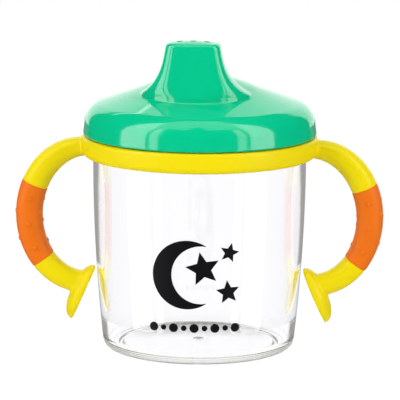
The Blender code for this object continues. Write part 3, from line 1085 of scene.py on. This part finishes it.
@dataclass
class Handles:
    """The ring under the lid with its two arms, pads and soft grips."""

    bore: float = 0.0365
    radius: float = 0.0415
    bottom: float = 0.0684
    top: float = 0.0758
    low_round: float = 0.0024
    low_steps: int = 8
    top_round: float = 0.0010
    top_steps: int = 5
    voxel: float = 0.00042
    soften_factor: float = 0.5
    soften_rounds: int = 9
    grip_points: int = 64
    grip_outer_steps: int = 60
    grip_inner_steps: int = 20
    grip_thickness: float = 0.0009
    grip_lift: float = 0.00005
    roll_depth: float = 0.00035
    roll_run: float = 0.02
    grip_crisp_degrees: float = 50.0
    bump_radius: float = 0.00095
    bump_height: float = 0.00055
    bump_rows: int = 6
    bumps_in_row: int = 3
    first_bump: float = 0.185
    bump_spacing: float = 0.308

    def arm(self) -> HandleArm:
        """The arm that both handles follow."""
        return HandleArm(self.radius, self.top)

    def ring(self) -> bpy.types.Object:
        """Make the plain ring before its arms are joined on.

        Returns:
            The ring as a closed mesh.
        """
        low, high = self.low_round, self.top_round
        outline = [(self.bore, self.top), (self.bore, self.bottom)]
        outline += arc((self.radius - low, self.bottom + low), low, -QUARTER, 0.0, self.low_steps)
        outline += arc((self.radius - high, self.top - high), high, 0.0, QUARTER, self.top_steps)
        return turned("handle_moulding", outline, Ends.JOINED)

    def build_moulding(self) -> None:
        """Join ring, arms and pads into one moulding with soft inside corners."""
        moulding = self.ring()
        for side in Side:
            arm = self.arm().arm(side)
            combine(arm, self.arm().pad(side), Join.ADD)
            combine(moulding, arm, Join.ADD)
        remesh = moulding.modifiers.new("even_faces", "REMESH")
        remesh.mode = "VOXEL"
        remesh.voxel_size = self.voxel
        soften = moulding.modifiers.new("soft_corners", "SMOOTH")
        soften.factor = self.soften_factor
        soften.iterations = self.soften_rounds
        settle(moulding)
        moulding.data.shade_smooth()
        place_piece(moulding, Body.HANDLES, YELLOW_SATIN, ["handle_ring"])

    def build_grip(self, side: Side) -> None:
        """Make one soft sleeve with a rolled edge at each end, and its bumps.

        Args:
            side: Which handle it is.
        """
        arm = self.arm()
        rings = []
        for angle in spread(arm.grip_top, arm.grip_end, self.grip_outer_steps):
            from_end = min(arm.grip_top - angle, angle - arm.grip_end)
            roll = self.roll_depth * (1 - min(from_end / self.roll_run, 1.0)) ** 2
            rings.append(arm.section(angle, roll - self.grip_lift, side, self.grip_points))
        for angle in spread(arm.grip_end, arm.grip_top, self.grip_inner_steps):
            rings.append(arm.section(angle, self.grip_thickness, side, self.grip_points))
        name = side.name.lower() + "_grip"
        sleeve = skin(name + "_sleeve", rings, Ends.JOINED)
        smooth(sleeve, self.grip_crisp_degrees)
        place_piece(sleeve, Body.HANDLES, ORANGE_SOFT, [name])
        bumps = self.bumps(side, name + "_bumps")
        place_piece(bumps, Body.HANDLES, ORANGE_SOFT)

    def bumps(self, side: Side, name: str) -> bpy.types.Object:
        """Make staggered rows of low bumps round a grip.

        Args:
            side: Which handle it is.
            name: The object's name.

        Returns:
            The bumps as one plain mesh.
        """
        arm = self.arm()
        spots = []
        for row in range(self.bump_rows):
            staggered = row % 2
            for index in range(self.bumps_in_row - staggered):
                share = self.first_bump + self.bump_spacing * (index + 0.5 * staggered)
                angle = arm.grip_top + (arm.grip_end - arm.grip_top) * share
                spots.append(arm.outer_face(angle, oval_angle(row, self.bump_rows), side))
        bumps = carrier_object(name, [place for place, _ in spots], path=False)
        outs = bumps.data.attributes.new("out", "FLOAT_VECTOR", "POINT")
        for index, (_, out) in enumerate(spots):
            outs.data[index].vector = out
        run_tree(bumps, bump_tree(), {
            "Bump radius": self.bump_radius, "Bump height": self.bump_height,
            "Finish": ORANGE_SOFT.make()})
        return bumps

    def build(self) -> None:
        """Make the moulding and both grips."""
        self.build_moulding()
        for side in Side:
            self.build_grip(side)


# The lid


@dataclass
class Lid:
    """The glossy screw lid: skirt, dome and spout in one unbroken skin."""

    radius: float = 0.0410
    bottom: float = 0.0761
    skirt_wall: float = 0.0027
    skirt_height: float = 0.0038
    skirt_draft: float = 0.0004
    skirt_edge: float = 0.0007
    shoulder_radius: float = 0.0080
    dome_slope: float = math.radians(19.4)
    crown_radius: float = 0.0205
    crown_slope: float = math.radians(26.0)
    crown_middle: float = 0.01
    dome_wall: float = 0.0024
    seat: float = 0.0843
    seat_outer: float = 0.0365
    seat_inner: float = 0.0331
    seat_lead: float = 1.5
    clocking: float = math.radians(-4.8)
    spout_top: float = field(default_factory=lambda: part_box("lid")[1].z)
    spout_offset: float = 0.0190
    half_width: float = 0.0093
    half_depth: float = 0.0055
    draft: float = 0.16
    lip_round: float = 0.0014
    lip_crown: float = 0.0006
    squareness: float = 3.8
    flare_length: float = 0.0185
    flare_power: float = 3.5
    flare_width: float = 0.0068
    flare_depth: float = 0.0085
    flare_shift: float = 0.0070
    foot_range: Flat = (0.4, 1.5)
    foot_halvings: int = 22
    foot_fillet: float = 0.0007
    fillet_reach: float = 1.4
    fan_shift: float = 0.4
    bore_half_width: float = 0.0078
    bore_half_depth: float = 0.0037
    bore_squareness: float = 3.0
    bore_points: int = 96
    top_wall: float = 0.0020
    hole_radius: float = 0.0012
    hole_spacing: float = 0.0048
    hole_points: int = 32
    socket_wall: float = 0.0016
    socket_bottom: float = 0.0849
    vent_offset: float = 0.0110
    vent_socket: float = 0.0030
    vent_hole: float = 0.001
    vent_hole_points: int = 24
    thread_rise: float = 0.0009
    thread_phase: float = 0.9
    points: int = 224
    crown_shares: tuple[float, ...] = (0.12, 0.3, 0.5, 0.7, 0.86, 0.95)
    lip_shares: tuple[float, ...] = (0.0, 0.06, 0.22, 0.45, 0.72)
    fillet_shares: tuple[float, ...] = (0.25, 0.5, 0.75)
    side_steps: int = 30
    dome_steps: int = 28
    shoulder_steps: int = 18
    edge_steps: int = 5
    hollow_steps: int = 16
    core_steps: int = 12
    crisp_degrees: float = 32.0

    def shoulder(self) -> tuple[Flat, Flat]:
        """Find the rounded shoulder between skirt and dome.

        Returns:
            Its centre, and the point where it runs out into the dome.
        """
        round_off = self.shoulder_radius
        centre = (self.radius - self.skirt_draft - round_off, self.bottom + self.skirt_height)
        turn = QUARTER - self.dome_slope
        end = (centre[0] + round_off * math.cos(turn), centre[1] + round_off * math.sin(turn))
        return centre, end

    def crown(self) -> Flat:
        """Find the ball that the crown is cut from.

        Returns:
            The height of its centre, and its radius.
        """
        end = self.shoulder()[1]
        ball = self.crown_radius / math.sin(self.crown_slope)
        rise = (end[0] - self.crown_radius) * math.tan(self.dome_slope)
        return end[1] + rise - ball * math.cos(self.crown_slope), ball

    def dome(self, x: float, y: float) -> float:
        """Height of the dome's outer face inside the shoulder.

        Args:
            x: Place across the lid.
            y: Place from front to back.

        Returns:
            The height.
        """
        distance = math.hypot(x, y)
        if distance > self.crown_radius:
            end = self.shoulder()[1]
            return end[1] + (end[0] - distance) * math.tan(self.dome_slope)
        centre, ball = self.crown()
        return centre + math.sqrt(ball * ball - distance * distance)

    def core_ceiling(self) -> float:
        """Height up to which the spout's flare is cored out."""
        centre, ball = self.crown()
        return centre + ball * math.cos(self.crown_slope) + 2 * self.dome_wall

    def spout_ring(self, down: float, inset: float = 0.0) -> list[Point]:
        """Ring of points round the spout."""
        return [self.spout_point(index, down, inset) for index in range(self.points)]

    def spout_point(self, index: int, down: float, inset: float = 0.0) -> Point:
        """One point of the spout's side, which is rounded toward the lip.

        Args:
            index: Which point round the spout it is.
            down: Distance down from the lip.
            inset: How far the point lies below the spout's outer face.

        Returns:
            The point.
        """
        lip = self.lip_round
        if down < lip:
            inset += lip - math.sqrt(lip ** 2 - (lip - down) ** 2)
        share = min(down / self.flare_length, 1.0)
        flare = share ** self.flare_power
        drafted = self.half_width + self.draft * share * self.flare_length
        width = drafted + self.flare_width * flare - inset
        depth = self.half_depth + self.flare_depth * flare - inset
        corners = self.squareness + (2.0 - self.squareness) * flare
        along, across = oval_point(oval_angle(index, self.points), corners)
        centre_y = -self.spout_offset + self.flare_shift * flare
        return (width * along, depth * across + centre_y, self.spout_top - down)

    def spout_foot(self) -> list[float]:
        """Find where the spout meets the dome, by halving the stretch that holds the place.

        Returns:
            For each point round the spout, its distance down from the lip.
        """
        first, last = (self.flare_length * share for share in self.foot_range)
        downs = []
        for index in range(self.points):
            low, high = first, last
            for _ in range(self.foot_halvings):
                middle = (low + high) / 2
                x, y, z = self.spout_point(index, middle)
                if z > self.dome(x, y):
                    low = middle
                else:
                    high = middle
            downs.append((low + high) / 2)
        return downs

    def shoulder_point(self, foot: Point) -> Flat:
        """Follow the ray from the spout's middle through a foot point to the shoulder's circle.

        Args:
            foot: The foot point.

        Returns:
            The point on the circle.
        """
        start = Vector((0.0, -self.spout_offset + self.fan_shift * self.flare_shift))
        way = (Vector((foot[0], foot[1])) - start).normalized()
        reach = self.shoulder()[1][0]
        half = start.dot(way)
        run = -half + math.sqrt(half * half - start.dot(start) + reach * reach)
        end = start + way * run
        return (end.x, end.y)

    def lip_rings(self) -> list[list[Point]]:
        """Rings over the crowned top of the spout and round its lip.

        Returns:
            The rings, from the middle outward and down.
        """
        lip = self.spout_ring(0.0)
        middle = Vector((0.0, -self.spout_offset, self.spout_top))
        rings = []
        for share in self.crown_shares:
            lift = Vector((0.0, 0.0, self.lip_crown * (1 - share * share)))
            rings.append([tuple(middle.lerp(Vector(point), share) + lift) for point in lip])
        return rings + [self.spout_ring(self.lip_round * share) for share in self.lip_shares]

    def side_rings(self, downs: Sequence[float]) -> list[list[Point]]:
        """Rings down the sides of the spout.

        Args:
            downs: For each point round the spout, how far down it meets the dome.

        Returns:
            The rings, from the lip down to where the fillet starts.
        """
        columns = [spread(self.lip_round, down - self.foot_fillet, self.side_steps) for down in downs]
        return [[self.spout_point(index, down) for index, down in enumerate(row)]
                for row in zip(*columns)]

    def past_foot(self, foot: Point, edge: Flat) -> Point:
        """Point of the dome where the fillet round the spout's foot ends.

        Args:
            foot: The foot point.
            edge: The point of the shoulder's circle beyond it.

        Returns:
            The point.
        """
        gap = math.hypot(edge[0] - foot[0], edge[1] - foot[1])
        x, y = between(foot, edge, min(self.foot_fillet * self.fillet_reach / gap, 0.5))
        return (x, y, self.dome(x, y))

    def fillet_rings(self, above: Sequence[Point], feet: Sequence[Point],
                     beyond: Sequence[Point]) -> list[list[Point]]:
        """Rings of the fillet that rounds off the corner between spout and dome.

        Args:
            above: The ring on the spout where the fillet starts.
            feet: The corner itself.
            beyond: The ring on the dome where the fillet ends.

        Returns:
            The rings between both.
        """
        rings = []
        for share in self.fillet_shares:
            ring = []
            for start, corner, end in zip(above, feet, beyond):
                first = Vector(start).lerp(Vector(corner), share)
                second = Vector(corner).lerp(Vector(end), share)
                ring.append(tuple(first.lerp(second, share)))
            rings.append(ring)
        return rings

    def rings(self) -> list[list[Point]]:
        """Every ring of the lid, from the lip down the spout, over the dome and up the inside.

        Returns:
            The rings.
        """
        downs = self.spout_foot()
        feet = [self.spout_point(index, down) for index, down in enumerate(downs)]
        outer = [self.shoulder_point(foot) for foot in feet]
        beyond = [self.past_foot(foot, edge) for foot, edge in zip(feet, outer)]
        rings = self.lip_rings() + self.side_rings(downs)
        rings += self.fillet_rings(rings[-1], feet, beyond)
        for share in spread(0.0, 1.0, self.dome_steps):
            flats = [between(start, end, share) for start, end in zip(beyond, outer)]
            rings.append([(x, y, self.dome(x, y)) for x, y in flats])
        turns = [math.atan2(y, x) for x, y in outer]
        for distance, height in self.skirt_outline() + self.inside_outline():
            rings.append([(distance * math.cos(turn), distance * math.sin(turn), height)
                          for turn in turns])
        return rings

    def skirt_outline(self) -> list[Flat]:
        """The shoulder and skirt, from the dome down to the lid's lower edge.

        Returns:
            The outline's (radius, height) points.
        """
        start = QUARTER - self.dome_slope
        edge = self.skirt_edge
        centre = self.shoulder()[0]
        points = arc(centre, self.shoulder_radius, start, 0.0, self.shoulder_steps)[1:]
        low = (self.radius - edge, self.bottom + edge)
        return points + arc(low, edge, 0.0, -QUARTER, self.edge_steps)

    def inside_outline(self) -> list[Flat]:
        """The lid's underside: thread wall, seal seat and the hollow of the dome.

        Returns:
            The outline's (radius, height) points.
        """
        bore = self.radius - self.skirt_wall
        end = self.shoulder()[1]
        sloped_wall = self.dome_wall / math.cos(self.dome_slope)
        rise = (end[0] - self.seat_inner) * math.tan(self.dome_slope) - sloped_wall
        below_seat = self.seat - self.seat_lead * (bore - self.seat_outer)
        points = [(bore, self.bottom), (bore, below_seat), (self.seat_outer, self.seat),
                  (self.seat_inner, self.seat), (self.seat_inner, end[1] + rise)]
        centre, ball = self.crown()
        return points + arc((0.0, centre), ball - self.dome_wall, QUARTER - self.crown_slope,
                            QUARTER - self.crown_middle, self.hollow_steps)

    def core(self) -> bpy.types.Object:
        """Make the hollow that is cored out under the spout's flare.

        Returns:
            The hollow as a closed mesh.
        """
        downs = spread(self.spout_top - self.core_ceiling(), self.flare_length, self.core_steps)
        rings = [self.spout_ring(down, self.dome_wall) for down in downs]
        rings.append([(x, y, self.seat) for x, y, _ in rings[-1]])
        return skin("core", rings)

    def sockets_and_holes(self) -> list[tuple[Join, Bar]]:
        """The valve's sockets under the lid, their bores, the vent and the drinking holes.

        Returns:
            The bars, in the order in which they are added or cut.
        """
        spout = (0.0, -self.spout_offset)
        vent = (0.0, self.vent_offset)
        wall = self.socket_wall
        centre, ball = self.crown()
        vent_ceiling = centre + math.sqrt((ball - self.dome_wall) ** 2 - self.vent_offset ** 2)
        width, depth, around = self.bore_half_width, self.bore_half_depth, self.vent_socket
        corners, fine = self.bore_squareness, self.bore_points
        bars = [
            (Join.ADD, Bar(width + wall, depth + wall, spout, self.socket_bottom,
                           self.core_ceiling() + wall, corners, fine)),
            (Join.ADD, Bar(around + wall, around + wall, vent, self.socket_bottom,
                           vent_ceiling + self.dome_wall / 2)),
            (Join.CUT, Bar(width, depth, spout, self.bottom, self.spout_top - self.top_wall,
                           corners, fine)),
            (Join.CUT, Bar(around, around, vent, self.bottom, vent_ceiling)),
            (Join.CUT, Bar(self.vent_hole, self.vent_hole, vent, self.bottom, self.spout_top,
                           points=self.vent_hole_points)),
        ]
        for place in (-1, 0, 1):
            hole = Bar(self.hole_radius, self.hole_radius, (place * self.hole_spacing, spout[1]),
                       self.spout_top - 2 * self.top_wall, self.spout_top + self.top_wall,
                       points=self.hole_points)
            bars.append((Join.CUT, hole))
        return bars

    def build(self) -> None:
        """Make the lid, its sockets, holes and thread, and dress them."""
        lid = skin("lid_moulding", self.rings())
        combine(lid, self.core(), Join.CUT)
        for join, bar in self.sockets_and_holes():
            combine(lid, bar.build(), join)
        lid.data.transform(Matrix.Rotation(self.clocking, 4, "Z"))
        smooth(lid, self.crisp_degrees)
        place_piece(lid, Body.LID, GREEN_GLOSS, ["lid"])
        thread = Thread()
        ribs = thread.ribs("lid_thread", self.radius - self.skirt_wall - thread.wall_gap,
                           self.bottom + self.thread_rise, GREEN_GLOSS, self.thread_phase)
        place_piece(ribs, Body.LID, GREEN_GLOSS)


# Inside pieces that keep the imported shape


@dataclass
class InsidePieces:
    """The seal and the valve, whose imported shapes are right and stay."""

    nodes: tuple[Body, ...] = (Body.SEAL, Body.VALVE)

    def dress(self) -> None:
        """Give each its milky silicone."""
        for body in self.nodes:
            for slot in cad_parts[body.value].material_slots:
                slot.material = SILICONE.make()
            LOG.info("%s keeps its packed shape", body.value)


# Floor, light and camera


def stage_sheet(sheet: bpy.types.Object, through: bool) -> None:
    """Put a studio sheet in place that shows in reflections only, or also through clear walls.

    Args:
        sheet: The sheet, with its material.
        through: Whether clear walls show the sheet.
    """
    sheet.visible_camera = False
    sheet.visible_diffuse = False
    sheet.visible_shadow = False
    sheet.visible_transmission = through


def white_sheet(name: str, builder: bmesh.types.BMesh, strength: float) -> None:
    """Stage a white glowing sheet that only reflections show.

    Args:
        name: Name of the sheet and of its material.
        builder: The sheet's faces.
        strength: Strength of the glow.
    """
    sheet = mesh_object(name, builder)
    material, kit = new_material(name)
    glow = kit.add("ShaderNodeEmission", {"Strength": strength, "Color": WHITE})
    kit.show(glow.outputs["Emission"])
    sheet.data.materials.append(material)
    stage_sheet(sheet, through=False)


@dataclass(frozen=True)
class PaintedEdgeShade:
    """A thin sleeve round the clear wall that glows grey where it is seen edge on, as painted shade.

    Its grey glow is painted shade that stands for the dark surroundings that a clear wall's edge
    gathers. It leaves out the height of the handles' end pads, which show in the edge themselves.
    """

    clearance: float = 0.00015
    rows: int = 32
    crisp_degrees: float = 30.0
    shade_tone: Colour = (0.36, 0.35, 0.335)
    clear_until: float = 0.62
    grey_from: float = 0.71
    pad_bottom: float = 0.0100
    pad_top: float = 0.0300
    pad_side: float = 0.030
    fade: float = 0.0010

    def material(self) -> bpy.types.Material:
        """Painted grey shade at a glancing angle away from the pads, else clear.

        Returns:
            The sleeve's material.
        """
        material, kit = new_material("painted_edge_shade")
        place = kit.add("ShaderNodeTexCoord").outputs["Object"]
        axes = kit.add("ShaderNodeSeparateXYZ", {"Vector": place}).outputs
        aside = kit.math("ABSOLUTE", axes["X"])
        above = self.ramp(kit, axes["Z"], self.pad_bottom, self.pad_bottom + self.fade)
        below = self.ramp(kit, axes["Z"], self.pad_top + self.fade, self.pad_top)
        out = self.ramp(kit, aside, self.pad_side, self.pad_side + self.fade)
        pad = kit.math("MULTIPLY", kit.math("MULTIPLY", above, below), out)
        facing = kit.add("ShaderNodeLayerWeight").outputs["Facing"]
        glancing = self.ramp(kit, facing, self.clear_until, self.grey_from)
        share = kit.math("MULTIPLY", glancing, kit.math("SUBTRACT", 1.0, pad))
        clear = kit.add("ShaderNodeBsdfTransparent")
        # The grey emission is painted shade for the clear wall's dark edges.
        painted_shade = kit.add("ShaderNodeEmission", {"Color": (*self.shade_tone, 1.0)})
        mix = kit.add("ShaderNodeMixShader", {
            "Fac": share, 1: clear.outputs["BSDF"], 2: painted_shade.outputs["Emission"]})
        kit.show(mix.outputs["Shader"])
        return material

    def ramp(self, kit: NodeTree, value: bpy.types.NodeSocket, start: float,
             end: float) -> bpy.types.NodeSocket:
        """A smooth step of a value.

        Args:
            kit: The node tree.
            value: The value's socket.
            start: Value at which the step is zero.
            end: Value at which the step is one.

        Returns:
            The step's socket.
        """
        step = kit.add("ShaderNodeMapRange", {"Value": value, "From Min": start, "From Max": end},
                       interpolation_type="SMOOTHSTEP")
        return step.outputs["Result"]

    def build(self, tumbler: Tumbler) -> None:
        """Make the sleeve.

        Args:
            tumbler: The tumbler whose wall the sleeve follows.
        """
        heights = spread(tumbler.base_corner, tumbler.ledge_height, self.rows)
        outline = [(tumbler.wall_radius(height) + self.clearance, height) for height in heights]
        sleeve = turned("painted_edge_shade", outline, Ends.OPEN)
        smooth(sleeve, self.crisp_degrees)
        sleeve.data.materials.append(self.material())
        stage_sheet(sleeve, through=True)


@dataclass(frozen=True)
class Panel:
    """A white panel that shows in the cup's reflections.

    Its angle is measured from the front, positive toward the right. A panel stands upright,
    or its top leans over toward the cup.
    """

    name: str
    degrees: float
    distance: float
    width: float
    bottom: float
    top: float
    strength: float
    lean: float = 0.0

    def build(self) -> None:
        """Make the panel."""
        turn = math.radians(self.degrees)
        across = Vector((math.cos(turn), math.sin(turn), 0.0)) * self.width / 2
        outward = Vector((math.sin(turn), -math.cos(turn), 0.0))
        leaning = self.distance - self.lean
        builder = bmesh.new()
        edges = []
        for distance, height in ((self.distance, self.bottom), (leaning, self.top)):
            middle = outward * distance + Vector((0.0, 0.0, height))
            edges.append([builder.verts.new(middle - across), builder.verts.new(middle + across)])
        low, high = edges
        builder.faces.new((low[0], low[1], high[1], high[0]))
        white_sheet(self.name, builder, self.strength)


@dataclass(frozen=True)
class SoftBox:
    """A lamp with a broad face, which reflections and clear walls don't show."""

    name: str
    place: Point
    size: Flat
    power: float

    def build(self, target: Point) -> None:
        """Make the lamp.

        Args:
            target: The place that it is aimed at.
        """
        data = bpy.data.lights.new(self.name, "AREA")
        data.shape = "RECTANGLE"
        data.size, data.size_y = self.size
        data.energy = self.power
        lamp = link_object(self.name, data)
        lamp.location = self.place
        aim = Vector(target) - Vector(self.place)
        lamp.rotation_euler = aim.to_track_quat("-Z", "Y").to_euler()
        lamp.visible_glossy = False
        lamp.visible_transmission = False


@dataclass
class Studio:
    """A pale floor under soft boxes, with the camera where the photograph was taken from."""

    tumbler: Tumbler
    distance: float = 1.2102
    height: float = 0.2754
    pitch: float = math.radians(10.442)
    azimuth: float = math.radians(2.5)
    roll: float = math.radians(0.4)
    lens: float = 313.7
    sensor: float = 36.0
    shift: float = 0.0015
    view_end: float = 20.0
    surround: float = 0.42
    reflected: float = 0.03
    floor_half: float = 1.6
    floor_cells: int = 8
    floor_drop: float = 0.0002
    floor_colour: Colour = (0.9, 0.9, 0.9)
    floor_roughness: float = 0.9
    floor_white: float = 0.93
    floor_glow: float = 1.03
    card_radius: float = 0.06
    card_points: int = 48
    card_drop: float = 0.0001
    card_glow: float = 1.0
    target: Point = (0.0, 0.0, 0.06)
    clear_bounces: int = 24
    glossy_bounces: int = 12
    panels: tuple[Panel, ...] = (
        Panel("left_panel", -66.1, 1.0, 0.52, -0.40, 4.5, 4.4),
        Panel("left_strip", -43.1, 1.0, 0.155, -0.40, 1.05, 3.6),
        Panel("left_roof", -33.0, 1.0, 0.70, 1.15, 1.80, 1.5, lean=1.2),
        Panel("right_panel", 66.2, 1.0, 0.475, -0.40, 4.5, 4.2),
        Panel("right_strip", 44.1, 1.0, 0.15, -0.40, 1.05, 2.9),
        Panel("right_roof", 33.0, 1.0, 0.70, 1.15, 1.80, 1.5, lean=1.2),
        Panel("back_panel", 180.0, 1.2, 1.9, -0.06, 1.0, 1.40),
        Panel("upper_panel", 180.0, 1.2, 0.70, 1.001, 1.40, 1.30),
        Panel("low_back_panel", 180.0, 1.2, 1.9, -0.40, -0.061, 0.20),
        Panel("back_strip", -155.0, 1.21, 0.8, 1.02, 1.07, 5.0),
    )
    boxes: tuple[SoftBox, ...] = (
        SoftBox("left_box", (-0.75, -0.75, 0.55), (0.35, 0.7), 6.0),
        SoftBox("right_box", (0.85, -0.65, 0.50), (0.35, 0.7), 4.5),
        SoftBox("top_box", (0.0, 0.2, 1.1), (0.8, 0.8), 4.5),
    )

    def seen_mask(self, kit: NodeTree) -> bpy.types.NodeSocket:
        """Tell what the eye sees, straight or through clear walls, from the rest.

        Args:
            kit: The node tree.

        Returns:
            A socket that is one for what the eye sees, and else zero.
        """
        light = kit.add("ShaderNodeLightPath").outputs
        through = kit.math("GREATER_THAN", light["Transmission Depth"], 0.5)
        return kit.math("MAXIMUM", light["Is Camera Ray"], through)

    def world(self) -> None:
        """Make a surround that is white to the eye, dim in reflections, and lights evenly."""
        world = bpy.data.worlds.new("studio")
        bpy.context.scene.world = world
        world.use_nodes = True
        kit = NodeTree(world.node_tree)
        seen = self.seen_mask(kit)
        glossy = kit.add("ShaderNodeLightPath").outputs["Is Glossy Ray"]
        mirrored = kit.math("MULTIPLY", glossy, kit.math("SUBTRACT", 1.0, seen))
        plain = kit.math("MULTIPLY_ADD", seen, 1.0 - self.surround, self.surround)
        level = kit.math("MULTIPLY_ADD", mirrored, self.reflected - self.surround, plain)
        kit.feed(kit.tree.nodes["Background"], {"Color": WHITE, "Strength": level})

    def floor(self) -> None:
        """Make a pale floor that keeps a faint shadow."""
        builder = bmesh.new()
        bmesh.ops.create_grid(builder, x_segments=self.floor_cells, y_segments=self.floor_cells,
                              size=self.floor_half)
        floor = mesh_object("floor", builder)
        floor.data.transform(Matrix.Translation((0.0, 0.0, -self.floor_drop)))
        material, kit = new_material("pale_floor")
        shader = kit.tree.nodes["Principled BSDF"]
        kit.feed(shader, {"Base Color": (*self.floor_colour, 1.0),
                          "Roughness": self.floor_roughness, "Specular IOR Level": 0.0})
        white = kit.add("ShaderNodeEmission", {"Strength": self.floor_glow})
        share = kit.math("MULTIPLY", self.seen_mask(kit), self.floor_white)
        mix = kit.add("ShaderNodeMixShader", {
            "Fac": share, 1: shader.outputs["BSDF"], 2: white.outputs["Emission"]})
        kit.show(mix.outputs["Shader"])
        floor.data.materials.append(material)
        floor.visible_glossy = False

    def card(self) -> None:
        """Make a white card under the foot, for the reflections in its rounded corner."""
        builder = bmesh.new()
        bmesh.ops.create_circle(builder, cap_ends=True, radius=self.card_radius,
                                segments=self.card_points)
        bmesh.ops.translate(builder, verts=builder.verts, vec=(0.0, 0.0, -self.card_drop))
        white_sheet("foot_card", builder, self.card_glow)

    def camera(self) -> None:
        """Set up the camera at the photograph's angle."""
        data = bpy.data.cameras.new("photo_camera")
        data.lens = self.lens
        data.sensor_width = self.sensor
        data.shift_x = self.shift
        data.clip_end = self.view_end
        camera = link_object("photo_camera", data)
        side = self.distance * math.sin(self.azimuth)
        back = -self.distance * math.cos(self.azimuth)
        place = Matrix.Translation((side, back, self.height))
        turn = Matrix.Rotation(self.azimuth, 4, "Z") @ Matrix.Rotation(QUARTER - self.pitch, 4, "X")
        camera.matrix_world = place @ turn @ Matrix.Rotation(self.roll, 4, "Z")
        bpy.context.scene.camera = camera

    def build(self) -> None:
        """Set up the floor, light and camera."""
        self.world()
        self.floor()
        self.card()
        for panel in self.panels:
            panel.build()
        # The sleeve paints grey shade on the clear wall's edges.
        PaintedEdgeShade().build(self.tumbler)
        for box in self.boxes:
            box.build(self.target)
        scene = bpy.context.scene
        scene.view_settings.view_transform = "Standard"
        scene.cycles.max_bounces = self.clear_bounces
        scene.cycles.transmission_bounces = self.clear_bounces
        scene.cycles.glossy_bounces = self.glossy_bounces
        self.camera()


def main() -> None:
    """Build every sub-assembly of the cup, then the studio."""
    logging.basicConfig(level=logging.INFO, format="%(name)s: %(message)s")
    tumbler = Tumbler()
    tumbler.build()
    PrintedMotif(tumbler).build()
    Handles().build()
    Lid().build()
    InsidePieces().dress()
    Studio(tumbler).build()


if __name__ == "__main__":
    main()
